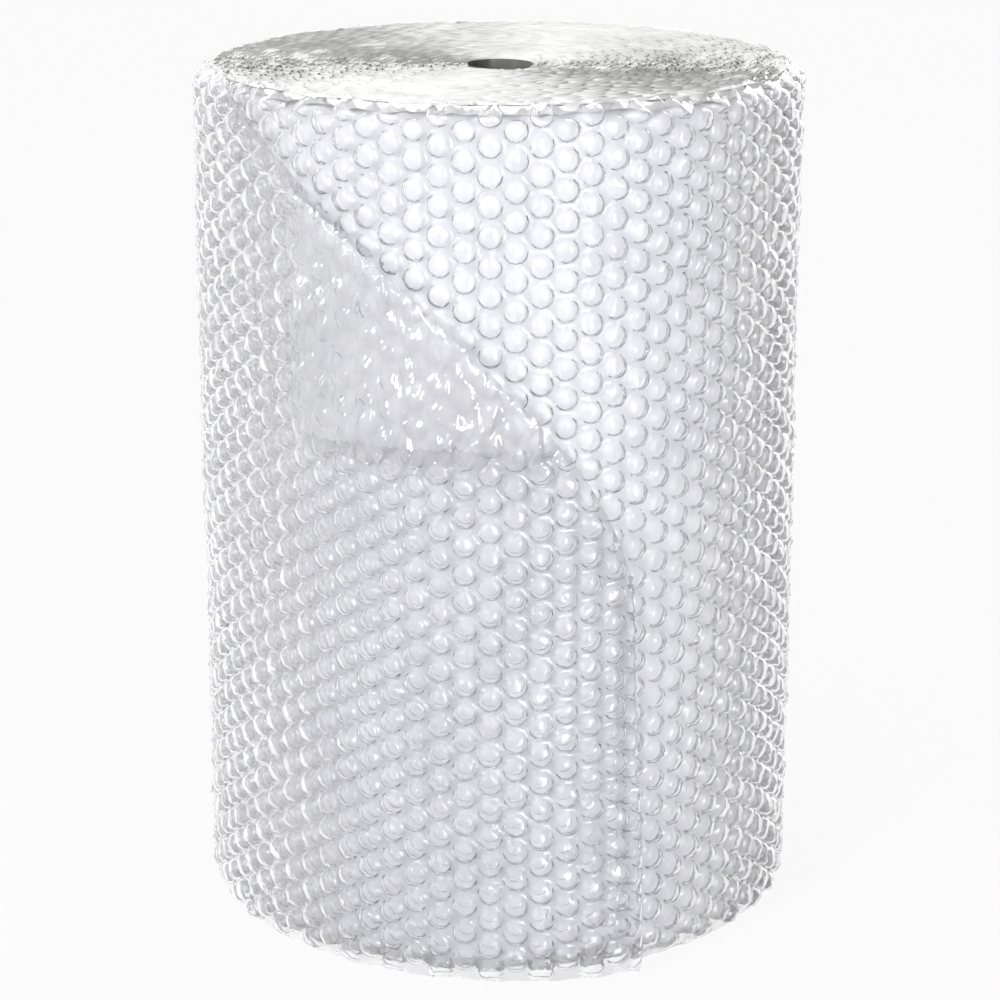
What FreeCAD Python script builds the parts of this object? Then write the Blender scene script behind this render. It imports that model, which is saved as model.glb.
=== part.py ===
import FreeCAD, Part

import math
import os

# A roll of large-bubble cushioning film, standing on its end. Millimetres, +Z up.
# The origin is on the winding axis, at the floor. The front of the roll is -Y.
# The wound web is one solid: a spiral of one turn's thickness a round, with the
# bubbles of the outside turn as low pyramids in a staggered lattice. The web's free
# end runs up the front, its upper corner is folded under along a bowed crease, and
# its foot stands off the roll. A plain hole runs through the middle.

NODE = "bubble_wrap_roll"

DIMENSIONS = (
    ("web_width", 1000.0, "width of the web, which is the height of the roll"),
    ("roll_radius", 348.0, "radius of the outside film at the free end"),
    ("turn_thickness", 7.6, "one wound turn, with its bubbles pressed"),
    ("bore_radius", 38.0, "hole left by the winding mandrel"),
    ("bubble_pitch", 32.5, "distance between bubbles along the axis"),
    ("bubble_height", 9.0, "rise of an outside bubble over its film"),
    ("edge_margin", 24.0, "least film outside the bubble rows at each end"),
    ("edge_inset", 7.0, "how far the turn edges lean in at each end"),
    ("edge_ripple", 3.0, "waviness of the upper turn edge"),
    ("end_dish", 7.0, "how far the upper end sinks towards the hole"),
    ("turn_relief", 6.0, "depth of the grooves between turns at an end"),
    ("turns_per_ridge", 4.0, "turns that one ridge on an end stands for"),
    ("free_end_bearing", 295.9, "where the free end lies, in degrees from +X"),
    ("fold_width", 550.0, "length of upper edge that the corner fold takes"),
    ("fold_depth", 580.0, "length of free end that the corner fold takes"),
    ("fold_bow", 0.57, "bow of the crease: 1 is straight"),
    ("fold_swell", 4.0, "extra thickness of the crease itself"),
    ("tuck_thickness", 4.5, "thickness of the pressed corner under the turn"),
    ("tuck_reach", 425.0, "how far round from the free end the corner reaches"),
    ("tuck_depth", 410.0, "how far down from the upper edge the corner reaches"),
    ("foot_stand_off", 22.0, "gap under the free end's lower corner"),
    ("foot_width", 415.0, "length of lower edge that stands off"),
    ("foot_height", 400.0, "length of free end that stands off"),
)

# How finely the skin is faceted.
END_SEGMENTS = 18
GAP_COLUMNS = 5
GAP_ROWS = 4

# Where a groove lies between two ridges, and how wide the flat ring round the hole
# is, both as shares of the distance between ridges.
GROOVE_SHARE = 0.35
FLAT_RING_SHARE = 1.5

# Overrun of cutting solids past the faces that they cut, and of the gap over the
# turn that lies under it, so that no two faces lie in one place.
OVERRUN = 12.0
SKIM = 1.5

# Width of the soft steps at the crease and at the edge of the tucked corner.
STEP_WIDTH = 22.0
SAME_PLACE = 1e-6


def fill_sheet(document):
    """Write the driving dimensions into a spreadsheet and name its cells."""
    sheet = document.addObject("Spreadsheet::Sheet", "Dimensions")
    for row, (alias, value, meaning) in enumerate(DIMENSIONS, start=1):
        sheet.set(f"A{row}", alias)
        sheet.set(f"B{row}", str(value))
        sheet.set(f"C{row}", meaning)
        sheet.setAlias(f"B{row}", alias)
    document.recompute()
    return sheet


def soft_step(value, width):
    """Return 0 below -width / 2, 1 above width / 2 and a smooth ramp between."""
    share = min(max(value / width + 0.5, 0.0), 1.0)
    return share * share * (3.0 - 2.0 * share)


class Web:
    """The shape of the wound web as radii over turning angle and height."""

    def __init__(self, sheet):
        for alias, _, _ in DIMENSIONS:
            setattr(self, alias, float(sheet.get(alias)))
        self.bearing = math.radians(self.free_end_bearing)
        column_step = self.bubble_pitch * math.sqrt(3.0) / 2.0
        around = 2.0 * math.pi * self.roll_radius / column_step
        self.columns = 2 * max(round(around / 2.0), 6)
        self.row_step = self.bubble_pitch / 2.0
        usable = self.web_width - 2.0 * self.edge_margin
        self.rows = max(int(usable / self.row_step), 2)
        self.first_row = (self.web_width - self.rows * self.row_step) / 2.0

    def film_radius(self, turned):
        """Outside film radius after turning back from the free end."""
        return self.roll_radius - self.turn_thickness * turned / (2.0 * math.pi)

    def crease_depth(self, arc):
        """Depth of the crease below the upper edge, at an arc from the free end."""
        share = min(max(arc / self.fold_width, 0.0), 1.0)
        return self.fold_depth * (1.0 - share ** self.fold_bow)

    def below_crease(self, arc, height):
        """Distance below the crease; negative where the corner is folded away."""
        depth = self.web_width - height
        reach = 1.0
        near = self.crease_depth(arc - reach)
        far = self.crease_depth(arc + reach)
        slope = (near - far) / (2.0 * reach)
        return (depth - self.crease_depth(arc)) / math.hypot(1.0, slope)

    def in_tuck(self, arc, height):
        """1 over the folded-under corner, 0 away from it."""
        depth = self.web_width - height
        left = soft_step(self.tuck_reach - arc, 2.0 * STEP_WIDTH)
        foot = soft_step(self.tuck_depth - depth, 2.0 * STEP_WIDTH)
        return left * foot

    def stand_off(self, arc, height):
        """How far the loose foot of the free end stands off the roll."""
        if arc >= self.foot_width or height >= self.foot_height:
            return 0.0
        along = 1.0 - arc / self.foot_width
        up = 1.0 - height / self.foot_height
        return self.foot_stand_off * along * up

    def skin_radius(self, turned, height):
        """Radius of the outermost film, without its bubbles."""
        radius = self.film_radius(turned)
        arc = turned * self.roll_radius
        below = self.below_crease(arc, height)
        kept = soft_step(below, STEP_WIDTH)
        swell = self.fold_swell * math.exp(-(max(below, 0.0) / STEP_WIDTH) ** 2)
        swell += self.tuck_thickness * self.in_tuck(arc, height)
        near_fold = arc < self.fold_width
        extra = kept * swell if near_fold else 0.0
        return radius - self.turn_thickness * (1.0 - kept) + extra + self.stand_off(arc, height)

    def direction(self, turned):
        """Unit vector from the axis at a turning angle back from the free end."""
        angle = self.bearing - turned
        return FreeCAD.Vector(math.cos(angle), math.sin(angle), 0.0)


def sides(triangle):
    """Return the three sides of a triangle, each from its start to its end."""
    first, second, third = triangle
    return (first, second), (second, third), (third, first)


class Skin:
    """A closed faceted skin, kept as shared corners and triangles."""

    def __init__(self):
        self.corners = []
        self.triangles = []

    def corner(self, place):
        """Add one corner and return its number."""
        self.corners.append(place)
        return len(self.corners) - 1

    def triangle(self, first, second, third):
        """Add a triangle, unless two of its corners are the same."""
        if len({first, second, third}) == 3:
            self.triangles.append((first, second, third))

    def quad(self, first, second, third, fourth):
        """Add a four-cornered facet, split from its first corner to its third."""
        self.triangle(first, second, third)
        self.triangle(first, third, fourth)

    def zip_chains(self, near, near_places, far, far_places):
        """Fill the band between two chains of corners, in step with their places."""
        here = 0
        there = 0
        while here < len(near) - 1 or there < len(far) - 1:
            near_left = here < len(near) - 1
            far_left = there < len(far) - 1
            if near_left and far_left:
                step_near = near_places[here + 1] <= far_places[there + 1]
            else:
                step_near = near_left
            if step_near:
                self.triangle(near[here], near[here + 1], far[there])
                here += 1
            else:
                self.triangle(near[here], far[there + 1], far[there])
                there += 1

    def turn_alike(self):
        """Give every triangle the winding of its neighbours."""
        beside = {}
        for number, triangle in enumerate(self.triangles):
            for side in sides(triangle):
                beside.setdefault(frozenset(side), []).append(number)
        done = {0}
        waiting = [0]
        while waiting:
            here = waiting.pop()
            for side in sides(self.triangles[here]):
                for other in beside[frozenset(side)]:
                    if other in done:
                        continue
                    if side in sides(self.triangles[other]):
                        self.triangles[other] = self.triangles[other][::-1]
                    done.add(other)
                    waiting.append(other)

    def solid(self):
        """Join the triangles edge to edge into one solid."""
        self.turn_alike()
        points = [Part.Vertex(place) for place in self.corners]
        edges = {}

        def edge(start, end):
            key = (min(start, end), max(start, end))
            if key not in edges:
                edges[key] = Part.Edge(points[key[0]], points[key[1]])
            return edges[key]

        faces = []
        for triangle in self.triangles:
            lead = triangle.index(min(triangle))
            turned = triangle[lead:] + triangle[:lead]
            wire = Part.Wire([edge(start, end) for start, end in sides(turned)])
            faces.append(Part.Face(wire))
        result = Part.Solid(Part.Shell(faces))
        if result.Volume < 0.0:
            result.reverse()
        return result


def side_of_roll(web, skin):
    """Add the outside turn with its bubbles; return its columns of corners."""
    columns = []
    for column in range(web.columns + 1):
        turned = 2.0 * math.pi * column / web.columns
        outward = web.direction(turned)
        corners = []
        for row in range(web.rows + 1):
            height = web.first_row + row * web.row_step
            radius = web.skin_radius(turned, height)
            if (column + row) % 2:
                radius += web.bubble_height
            place = outward * radius + FreeCAD.Vector(0.0, 0.0, height)
            start = columns[0][row] if column == web.columns else None
            same = start is not None and skin.corners[start].isEqual(place, SAME_PLACE)
            corners.append(start if same else skin.corner(place))
        columns.append(corners)
    for column in range(web.columns):
        near, far = columns[column], columns[column + 1]
        for row in range(web.rows):
            if (column + row) % 2:
                skin.quad(far[row], far[row + 1], near[row + 1], near[row])
                continue
            skin.quad(near[row], far[row], far[row + 1], near[row + 1])
    return columns


def turn_edge(web, skin, columns, height, ripple):
    """Add the outermost turn's edge at one end of the roll; return its corners."""
    ring = []
    for column in range(web.columns + 1):
        turned = 2.0 * math.pi * column / web.columns
        radius = web.skin_radius(turned, height) - web.edge_inset
        lift = ripple * (column % 2)
        place = web.direction(turned) * radius + FreeCAD.Vector(0.0, 0.0, height - lift)
        same = column == web.columns and skin.corners[ring[0]].isEqual(place, SAME_PLACE)
        ring.append(ring[0] if same else skin.corner(place))
    row = 0 if height < web.first_row else web.rows
    for column in range(web.columns):
        near, far = columns[column][row], columns[column + 1][row]
        skin.quad(near, far, ring[column + 1], ring[column])
    return ring


def end_turns(web, skin, ring, height, inward, dish):
    """Add the wound turns of one end as a spiral ridge, from its edge to the axis."""
    pitch = web.turns_per_ridge * web.turn_thickness
    outer = skin.corners[ring[-1]]
    start = math.hypot(outer.x, outer.y)
    inside = web.bore_radius / 2.0
    rounds = max(math.ceil((start - inside) / pitch), 2)
    pitch = (start - inside) / rounds
    ridge = []
    groove = []
    flat_ring = web.bore_radius + FLAT_RING_SHARE * pitch
    for step in range((rounds - 1) * END_SEGMENTS + 1):
        turned = 2.0 * math.pi * step / END_SEGMENTS
        outward = web.direction(turned)
        radius = start - pitch * step / END_SEGMENTS
        sunk = dish * (1.0 - radius / start)
        crest = FreeCAD.Vector(0.0, 0.0, height + inward * sunk)
        ridge.append(skin.corner(outward * radius + crest) if step else ring[-1])
        relief = web.turn_relief if radius > flat_ring else 0.0
        foot = FreeCAD.Vector(0.0, 0.0, height + inward * (sunk + relief))
        groove.append(skin.corner(outward * (radius - pitch * GROOVE_SHARE) + foot))
    ring_places = [index / web.columns for index in range(web.columns + 1)]
    ridge_places = [index / END_SEGMENTS for index in range(END_SEGMENTS + 1)]
    skin.zip_chains(ring, ring_places, ridge[:END_SEGMENTS + 1], ridge_places)
    skin.triangle(ridge[0], groove[0], ridge[END_SEGMENTS])
    last = len(ridge) - 1
    for step in range(last):
        skin.quad(ridge[step], ridge[step + 1], groove[step + 1], groove[step])
        if step + END_SEGMENTS < last:
            inner = step + END_SEGMENTS
            skin.quad(groove[step], groove[step + 1], ridge[inner + 1], ridge[inner])
    sunk = dish + web.turn_relief
    middle = skin.corner(FreeCAD.Vector(0.0, 0.0, height + inward * sunk))
    for step in range(last - END_SEGMENTS, last):
        skin.triangle(groove[step], groove[step + 1], middle)
    skin.triangle(groove[last], ridge[last], middle)
    skin.triangle(ridge[last], groove[last - END_SEGMENTS], middle)


def wound_web(web):
    """Return the whole roll as one solid, before the gap and the hole are cut."""
    skin = Skin()
    columns = side_of_roll(web, skin)
    lower = turn_edge(web, skin, columns, 0.0, 0.0)
    upper = turn_edge(web, skin, columns, web.web_width, web.edge_ripple)
    end_turns(web, skin, lower, 0.0, 1.0, 0.0)
    end_turns(web, skin, upper, web.web_width, -1.0, web.end_dish)
    free_end = [lower[0]] + columns[0] + [upper[0]]
    turn_under = [lower[-1]] + columns[-1] + [upper[-1]]
    heights = [skin.corners[number].z for number in free_end]
    skin.zip_chains(free_end, heights, turn_under, heights)
    return skin.solid()


def foot_gap(web):
    """Return the wedge of air between the loose foot and the turn under it."""
    skin = Skin()
    inner = []
    outer = []
    for column in range(GAP_COLUMNS + 1):
        arc = web.foot_width * column / GAP_COLUMNS
        turned = arc / web.roll_radius
        if column == 0:
            turned = -OVERRUN / web.roll_radius
        outward = web.direction(turned)
        under = web.film_radius(max(turned, 0.0)) - web.turn_thickness + SKIM
        inner_column = []
        outer_column = []
        for row in range(GAP_ROWS + 1):
            height = web.foot_height * row / GAP_ROWS
            up = FreeCAD.Vector(0.0, 0.0, height if row else -OVERRUN)
            gap = web.stand_off(arc, height)
            place = outward * under + up
            inner_column.append(skin.corner(place))
            closed = column == GAP_COLUMNS or row == GAP_ROWS
            place = outward * (under + gap) + up
            outer_column.append(inner_column[-1] if closed else skin.corner(place))
        inner.append(inner_column)
        outer.append(outer_column)
    for column in range(GAP_COLUMNS):
        for row in range(GAP_ROWS):
            for side in (inner, outer):
                near, far = side[column], side[column + 1]
                skin.quad(near[row], far[row], far[row + 1], near[row + 1])
        skin.quad(inner[column][0], inner[column + 1][0], outer[column + 1][0], outer[column][0])
    for row in range(GAP_ROWS):
        skin.quad(inner[0][row], inner[0][row + 1], outer[0][row + 1], outer[0][row])
    return skin.solid()


def set_feature(document, name, shape):
    """Keep a shape as an object of the document."""
    feature = document.addObject("Part::Feature", name)
    feature.Shape = shape
    feature.Placement = FreeCAD.Placement()
    return feature


def mandrel_hole(document, sheet):
    """Return the plain hole down the middle, bound to the sheet."""
    hole = document.addObject("Part::Cylinder", "mandrel_hole")
    hole.setExpression("Radius", f"{sheet.Name}.bore_radius")
    hole.setExpression("Height", f"{sheet.Name}.web_width + {2.0 * OVERRUN}")
    hole.Placement.Base.z = -OVERRUN
    return hole


def check(document):
    """Raise if any object failed, or has no valid shape."""
    for item in document.Objects:
        if "Invalid" in item.State or "Error" in item.State:
            raise RuntimeError(f"{item.Name} failed: {item.State}")
        if hasattr(item, "Shape") and (item.Shape.isNull() or not item.Shape.isValid()):
            raise RuntimeError(f"{item.Name} has no valid shape")


def main():
    """Build the roll, check it and write its solid."""
    document = FreeCAD.newDocument("BubbleWrapRoll")
    sheet = fill_sheet(document)
    web = Web(sheet)
    winding = set_feature(document, "wound_web", wound_web(web))
    gap = set_feature(document, "foot_gap", foot_gap(web))
    hollows = document.addObject("Part::MultiFuse", "hollows")
    hollows.Shapes = [gap, mandrel_hole(document, sheet)]
    roll = document.addObject("Part::Cut", NODE)
    roll.Label = NODE
    roll.Base = winding
    roll.Tool = hollows
    roll.Refine = False
    document.recompute()
    check(document)
    if len(roll.Shape.Solids) != 1:
        raise RuntimeError(f"{NODE} has {len(roll.Shape.Solids)} solids")
    os.makedirs("parts", exist_ok=True)
    roll.Shape.exportStep(f"parts/{NODE}.step")
    box = roll.Shape.BoundBox
    print(f"{NODE}: {len(roll.Shape.Faces)} faces, {roll.Shape.Volume / 1e9:.4f} m3")
    print(f"box {box.XMin:.1f}..{box.XMax:.1f} {box.YMin:.1f}..{box.YMax:.1f} {box.ZMin:.1f}..{box.ZMax:.1f}")
    turns = (web.roll_radius - web.bore_radius) / web.turn_thickness
    print(f"{web.columns} bubble columns, {web.rows} half rows, {turns:.1f} turns")


main()
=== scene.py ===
"""Looks of the bubble wrap roll: its film, bubbles, folded corner and loose foot, round the CAD part."""

import logging
import math
from dataclasses import dataclass, replace
from enum import Enum
from typing import Optional

import bpy
import numpy as np
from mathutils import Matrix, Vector


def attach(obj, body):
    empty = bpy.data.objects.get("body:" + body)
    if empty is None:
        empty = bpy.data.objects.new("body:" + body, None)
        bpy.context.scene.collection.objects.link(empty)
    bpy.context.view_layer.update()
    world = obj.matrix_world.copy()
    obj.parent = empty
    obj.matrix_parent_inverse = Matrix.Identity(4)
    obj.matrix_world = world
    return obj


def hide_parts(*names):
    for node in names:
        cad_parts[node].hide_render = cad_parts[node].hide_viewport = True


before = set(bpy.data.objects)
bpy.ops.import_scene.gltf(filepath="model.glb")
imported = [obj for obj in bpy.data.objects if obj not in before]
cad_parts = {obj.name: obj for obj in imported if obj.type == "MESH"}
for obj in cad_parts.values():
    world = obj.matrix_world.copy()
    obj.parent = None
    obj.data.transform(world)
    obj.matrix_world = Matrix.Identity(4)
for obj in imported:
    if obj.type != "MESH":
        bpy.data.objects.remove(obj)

LOG = logging.getLogger("bubble_wrap_roll")
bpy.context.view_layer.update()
BODY = "root"
NODE = "bubble_wrap_roll"
FULL_TURN = 2 * math.pi
RIM_POINTS = 12
MERGE_DIGITS = 5
SMALLEST_AREA = 1e-9
SMALLEST_SHARE = 1e-4
Colour = tuple[float, float, float]
Point = tuple[float, float, float]


class End(Enum):
    """The two ends of the roll, as steps from the lower one's random seeds."""

    LOWER = 0
    UPPER = 1


def soft_step(value: np.ndarray, width: float) -> np.ndarray:
    """Eases from 0 to 1 as the value goes from 0 to the width.

    Args:
        value: Distances past the start of the step.
        width: How wide the step is.

    Returns:
        The eased shares, from 0 to 1.
    """
    share = np.clip(value / width, 0.0, 1.0)
    return share * share * (3.0 - 2.0 * share)


@dataclass(frozen=True)
class Ripple:
    """Smooth seeded noise over the web, with its own grain along and across the film.

    Attributes:
        seed: Seed of the random numbers.
        arc_step: Size of the grain along the web, in metres.
        height_step: Size of the grain across the web, in metres.
        depth: Its largest value, either way.
        cells: Grains after which it repeats.
    """

    seed: int
    arc_step: float
    height_step: float = 1.0
    depth: float = 1.0
    cells: int = 256

    def at(self, arc: np.ndarray, height: np.ndarray) -> np.ndarray:
        """Reads the noise.

        Args:
            arc: Places along the web.
            height: Places across it.

        Returns:
            One value for each place.
        """
        grid = np.random.default_rng(self.seed).uniform(-1.0, 1.0, (self.cells, self.cells))
        along, across = arc / self.arc_step, height / self.height_step
        column, row = np.floor(along).astype(int), np.floor(across).astype(int)
        right, up = soft_step(along - column, 1.0), soft_step(across - row, 1.0)
        near, far = column % self.cells, (column + 1) % self.cells
        low, high = row % self.cells, (row + 1) % self.cells
        below = grid[near, low] * (1 - right) + grid[far, low] * right
        above = grid[near, high] * (1 - right) + grid[far, high] * right
        return self.depth * (below * (1 - up) + above * up)

    def along(self, arc: np.ndarray) -> np.ndarray:
        """Reads the noise along one edge of the web."""
        return self.at(arc, np.zeros_like(arc))


@dataclass(frozen=True)
class Web:
    """The wound film and its lie on the roll, with the CAD part's own sizes, in metres and radians.

    Attributes:
        width: Width of the film, and so the height of the standing roll.
        roll_radius: Radius of the outer turn at its free end.
        turn_thickness: What one turn adds to the radius.
        bore_radius: Radius of the hole.
        bubble_pitch: Distance between bubbles.
        bubble_height: Height of a whole bubble.
        edge_margin: Width of the plain film along its two cut edges.
        edge_inset: How far the lower edge draws in.
        edge_curl: How far the upper edge draws in.
        end_dish: Depth of the dished upper end.
        free_end_bearing: Bearing of the free end round the axis.
        fold_width: Width of the folded corner along the web.
        fold_depth: Its depth down the free end.
        fold_bow: How much its crease bows, where 1 is straight.
        fold_swell: How far the film swells along the crease.
        tuck_thickness: Thickness of the corner under the outer turn.
        tuck_reach: Its reach along the web.
        tuck_depth: Its reach down it.
        foot_stand_off: How far the loose foot stands off the roll.
        foot_width: Width of the foot along the web.
        foot_height: Its height.
        step_width: Width over which the swell and the corner fade.
    """

    width: float = 1.0
    roll_radius: float = 0.348
    turn_thickness: float = 0.0076
    bore_radius: float = 0.038
    bubble_pitch: float = 0.0325
    bubble_height: float = 0.009
    edge_margin: float = 0.024
    edge_inset: float = 0.007
    edge_curl: float = 0.012
    end_dish: float = 0.007
    free_end_bearing: float = math.radians(295.9)
    fold_width: float = 0.550
    fold_depth: float = 0.580
    fold_bow: float = 0.57
    fold_swell: float = 0.004
    tuck_thickness: float = 0.0045
    tuck_reach: float = 0.425
    tuck_depth: float = 0.410
    foot_stand_off: float = 0.022
    foot_width: float = 0.415
    foot_height: float = 0.400
    step_width: float = 0.022

    @property
    def girth(self) -> float:
        """Length of web in the outer turn."""
        return FULL_TURN * self.roll_radius

    @property
    def columns(self) -> int:
        """Bubble columns round the roll, always even."""
        spacing = self.bubble_pitch * math.sqrt(3) / 2
        return 2 * round(self.girth / spacing / 2)

    @property
    def column_step(self) -> float:
        """Distance between bubble columns along the web."""
        return self.girth / self.columns

    @property
    def row_step(self) -> float:
        """Half the pitch, by which alternate columns are staggered."""
        return self.bubble_pitch / 2

    @property
    def rows(self) -> int:
        """Half rows of bubbles across the web."""
        return int((self.width - 2 * self.edge_margin) / self.row_step)

    @property
    def first_row(self) -> float:
        """Height of the lowest half row."""
        return (self.width - self.rows * self.row_step) / 2

    @property
    def turns(self) -> float:
        """Turns wound between the bore and the outside."""
        return (self.roll_radius - self.bore_radius) / self.turn_thickness

    def film_radius(self, arc: np.ndarray) -> np.ndarray:
        """Radius of the wound film at a place along the web."""
        return self.roll_radius - self.turn_thickness * arc / self.girth

    def crease_depth(self, arc: np.ndarray) -> np.ndarray:
        """Depth of the bowed crease below the upper edge at a place along the web."""
        return self.fold_depth * (1 - np.clip(arc / self.fold_width, 0.0, 1.0) ** self.fold_bow)

    def crease_slope(self, arc: np.ndarray) -> np.ndarray:
        """Fall of the crease for each metre along the web."""
        share = np.clip(arc / self.fold_width, SMALLEST_SHARE, 1.0)
        steep = -self.fold_depth * self.fold_bow / self.fold_width * share ** (self.fold_bow - 1)
        return np.where(arc < self.fold_width, steep, 0.0)

    def below_crease(self, arc: np.ndarray, height: np.ndarray) -> np.ndarray:
        """Distance below the crease, negative above it and large past the fold."""
        depth = self.width - height
        gap = (depth - self.crease_depth(arc)) / np.hypot(1.0, self.crease_slope(arc))
        return np.where(arc < self.fold_width, gap, self.fold_width)

    def in_tuck(self, arc: np.ndarray, height: np.ndarray) -> np.ndarray:
        """Share, from 0 to 1, of the folded-under corner that lies under a place on the web."""
        ease = 2 * self.step_width
        return soft_step(self.tuck_reach - arc, ease) * soft_step(self.tuck_depth - self.width + height, ease)

    def stand_off(self, arc: np.ndarray, height: np.ndarray) -> np.ndarray:
        """Distance by which the loose foot stands off the roll."""
        out = np.clip(1 - arc / self.foot_width, 0.0, 1.0) * np.clip(1 - height / self.foot_height, 0.0, 1.0)
        return self.foot_stand_off * out

    def outer_swell(self, arc: np.ndarray, height: np.ndarray) -> np.ndarray:
        """Distance by which the outer turn stands proud of the wound radius, at the fold and the foot."""
        below = np.clip(self.below_crease(arc, height), 0.0, None)
        fold = self.fold_swell * np.exp(-((below / self.step_width) ** 2))
        tuck = self.tuck_thickness * self.in_tuck(arc, height)
        return np.where(arc < self.fold_width, fold + tuck, 0.0) + self.stand_off(arc, height)

    def near_edge(self, distance: np.ndarray) -> np.ndarray:
        """Share, from 1 on a cut edge to 0 at the edge margin, for distances from that edge."""
        return np.clip(1 - distance / self.edge_margin, 0.0, 1.0)

    def edge_draw(self, height: np.ndarray) -> np.ndarray:
        """Distance by which the film draws in towards its two cut edges, more at the upper one."""
        lower = self.edge_inset * self.near_edge(height) ** 2
        upper = self.edge_curl * self.near_edge(self.width - height) ** 2
        return lower + upper

    def dish_depth(self, radius: np.ndarray) -> np.ndarray:
        """Depth of the dished upper end at a distance from the axis."""
        return self.end_dish * (1 - (radius / self.roll_radius) ** 2)

    def place(self, arc: np.ndarray, height: np.ndarray, radius: np.ndarray) -> np.ndarray:
        """Wraps places on the web round the roll.

        Args:
            arc: Places along the web from its free end.
            height: Heights above the lower end.
            radius: Distances from the winding axis.

        Returns:
            The points, one row each.
        """
        bearing = self.free_end_bearing - arc / self.roll_radius
        return np.stack([radius * np.cos(bearing), radius * np.sin(bearing), height], axis=1)


@dataclass
class Patch:
    """A stretch of film laid flat: its points along and across the web and off it, and its triangles.

    Attributes:
        arc: Places along the web.
        height: Places across it.
        lift: Distances off the flat film.
        crown: Share of a whole bubble's height, from 0 on the flat film to 1 on a bubble's top.
        faces: Three points for each triangle.
    """

    arc: np.ndarray
    height: np.ndarray
    lift: np.ndarray
    crown: np.ndarray
    faces: np.ndarray

    def keep(self, wanted: np.ndarray) -> "Patch":
        """Keeps the chosen triangles and the points that they use."""
        faces = self.faces[wanted]
        used, faces = np.unique(faces, return_inverse=True)
        faces = faces.reshape(-1, 3)
        return Patch(self.arc[used], self.height[used], self.lift[used], self.crown[used], faces)

    def without_slivers(self) -> "Patch":
        """Leaves out triangles that have no area, as where points were drawn onto an edge."""
        first, second, third = (self.faces[:, side] for side in range(3))
        across = (self.arc[second] - self.arc[first]) * (self.height[third] - self.height[first])
        along = (self.arc[third] - self.arc[first]) * (self.height[second] - self.height[first])
        return self.keep(np.abs(across - along) > SMALLEST_AREA)


ROUND_RINGS = ((0.58, 0.93), (0.90, 0.62), (1.0, 0.0))
PRESSED_RINGS = ((0.72, 0.86), (1.0, 0.0))
PRESSED_SEED = 12


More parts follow.
